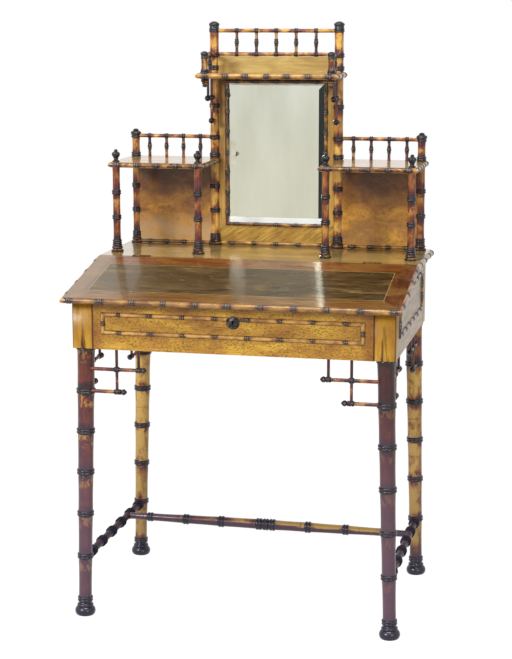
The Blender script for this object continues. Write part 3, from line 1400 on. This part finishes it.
def makeBaseMoulding():
    inside, outside, outer = footStripSet["gaps"]
    half, near, far = postX - inside, postX + outside, outerX - outer
    places = [half + footStripSet["middlePitch"] * number for number in range(-2, 3)]
    pieces = [footStrip(-half, half, frameFront, places, {**thinLook, "seed": 180})]
    for side in sides.values():
        strip = {**thinLook, "seed": 182 + side, "tone": footStripSet["sideTone"]}
        places = evenly(far - near, 4, footStripSet["sideMargin"])
        pieces.append(footStrip(near * side, far * side, panelFront, places, strip))
    split("base_moulding", pieces)


makeLidMoulding()
makeFlatTopMoulding()
makeFriezeMoulding()
makeKeyPlate()
makeSideMoulding()
makeShelfMoulding()
makeTopShelfMoulding()
makeMirrorMoulding()
makeBaseMoulding()
print("mouldings laid")


# mirror plate

plateSet = {"bevelWide": 0.0165, "bevelDeep": 0.0018, "leftExtra": 0.003}


def makeMirrorPlate():
    plate = startShape(bpy.ops.mesh.primitive_cube_add, "mirror_glass_bevelled", size=1,
                       location=(glassLow + glassHigh) / 2, scale=glassHigh - glassLow)
    bpy.ops.object.transform_apply(location=True, scale=True)
    bpy.ops.object.mode_set(mode="EDIT")
    bpy.ops.mesh.select_mode(type="FACE")
    bpy.ops.mesh.select_all(action="DESELECT")
    bpy.ops.object.mode_set(mode="OBJECT")
    for polygon in plate.data.polygons:
        polygon.select = polygon.normal.y < -0.9
    bpy.ops.object.mode_set(mode="EDIT")
    bpy.ops.transform.translate(value=(0, plateSet["bevelDeep"], 0))
    bpy.ops.mesh.inset(thickness=plateSet["bevelWide"], depth=0)
    bpy.ops.transform.translate(value=(0, -plateSet["bevelDeep"], 0))
    bpy.ops.object.mode_set(mode="OBJECT")
    # the left bevel is a little wider than the others
    frontFace = min(vertex.co.y for vertex in plate.data.vertices)
    for vertex in plate.data.vertices:
        if vertex.co.x < 0 and vertex.co.y < frontFace + 0.0001:
            vertex.co.x += plateSet["leftExtra"]
    finish(plate, silvered, "mirror_plate", "desk", "mirror_glass")


makeMirrorPlate()
print("mirror set")


# floor, light and camera

studioSet = {
    "floorSize": 60,
    "floor": (0.6, 0.6, 0.6, 1),
    "floorGlow": 1.12,
    "floorShare": 0.86,
    "soft": 0.36,
    "lampsAim": (0, 0, 0.7),
    "lamps": {      # place, width, height and power
        "keyLamp": ((-1.75, -2.8, 2.2), 0.7, 0.7, 92),
        "fillLamp": ((2.2, -2.6, 1.5), 0.8, 0.8, 30),
        "topLamp": ((0.1, -1.1, 3.1), 1.6, 0.5, 60),
        "glintLamp": ((-0.61, -2.95, 3.0), 0.014, 0.4, 0.45),
    },
    "camera": (0.821268, -3.602047, 1.330306),
    "cameraAim": (0.0021186, 0.007, 0.618472),
    "cameraRoll": -0.001745,
    "lens": 92.36,
    "card": (0.22, -3.0, 0.7),
    "cardSize": (0.4, 1.2, 1),
    "slate": (0.03, 0.04, 0.045, 1),
}


def whiteInView(usual, white, surface, rays, share=1.0):
    # rays that look, straight or by reflection, meet the white in place of the usual
    path = addNode("LightPath", {})
    seen = largest(*[path.outputs["Is " + ray + " Ray"] for ray in rays])
    mix = addNode("MixShader", {0: times(seen, share), 1: usual.outputs[0], 2: white.outputs[0]})
    feed(bench["tree"].nodes[surface].inputs["Surface"], mix.outputs[0])


def makeFloor():
    floor = startShape(bpy.ops.mesh.primitive_plane_add, "floor", size=studioSet["floorSize"], location=(0, 0, 0))
    startMaterial("paleFloor", 0.9)
    floor.data.materials.append(endMaterial(studioSet["floor"]))
    glow = addNode("Emission", {"Strength": studioSet["floorGlow"]})
    whiteInView(bench["shader"], glow, "Material Output", ("Camera", "Glossy"), studioSet["floorShare"])


def makeWorld():
    world = bpy.data.worlds.new("studio")
    bpy.context.scene.world = world
    world.use_nodes = True
    bench["tree"] = world.node_tree
    soft = world.node_tree.nodes["Background"]
    feed(soft.inputs["Color"], (1, 1, 1, 1))
    feed(soft.inputs["Strength"], studioSet["soft"])
    white = addNode("Background", {"Color": (1, 1, 1, 1), "Strength": 1.0})
    whiteInView(soft, white, "World Output", ("Camera", "Glossy", "Transmission"))


def makeDarkCard():
    # a slate card in front of the desk, seen in the right-hand bevel of the mirror and nowhere else
    card = startShape(bpy.ops.mesh.primitive_plane_add, "darkCard", size=1, location=studioSet["card"],
                      rotation=(math.pi / 2, 0, 0))
    card.scale = studioSet["cardSize"]
    bpy.ops.object.transform_apply(location=False, rotation=False, scale=True)
    startMaterial("slateCard", 0.8)
    card.data.materials.append(endMaterial(studioSet["slate"]))
    card.visible_camera = False
    card.visible_diffuse = False
    card.visible_shadow = False


def aimed(place, aim):
    return (Vector(aim) - Vector(place)).to_track_quat("-Z", "Y")


def makeLamps():
    for name, (place, wide, high, power) in studioSet["lamps"].items():
        data = bpy.data.lights.new(name, "AREA")
        data.shape = "RECTANGLE"
        data.size = wide
        data.size_y = high
        data.energy = power
        lamp = bpy.data.objects.new(name, data)
        bpy.context.scene.collection.objects.link(lamp)
        lamp.location = place
        lamp.rotation_euler = aimed(place, studioSet["lampsAim"]).to_euler()


def makeCamera():
    data = bpy.data.cameras.new("camera")
    data.sensor_width = 36
    data.lens = studioSet["lens"]
    camera = bpy.data.objects.new("camera", data)
    bpy.context.scene.collection.objects.link(camera)
    turnTo = aimed(studioSet["camera"], studioSet["cameraAim"]).to_matrix().to_4x4()
    roll = Matrix.Rotation(studioSet["cameraRoll"], 4, "Z")
    camera.matrix_world = Matrix.Translation(studioSet["camera"]) @ turnTo @ roll
    bpy.context.scene.camera = camera


makeFloor()
makeDarkCard()
makeWorld()
makeLamps()
makeCamera()
bpy.context.scene.view_settings.view_transform = "Standard"
print("studio set")
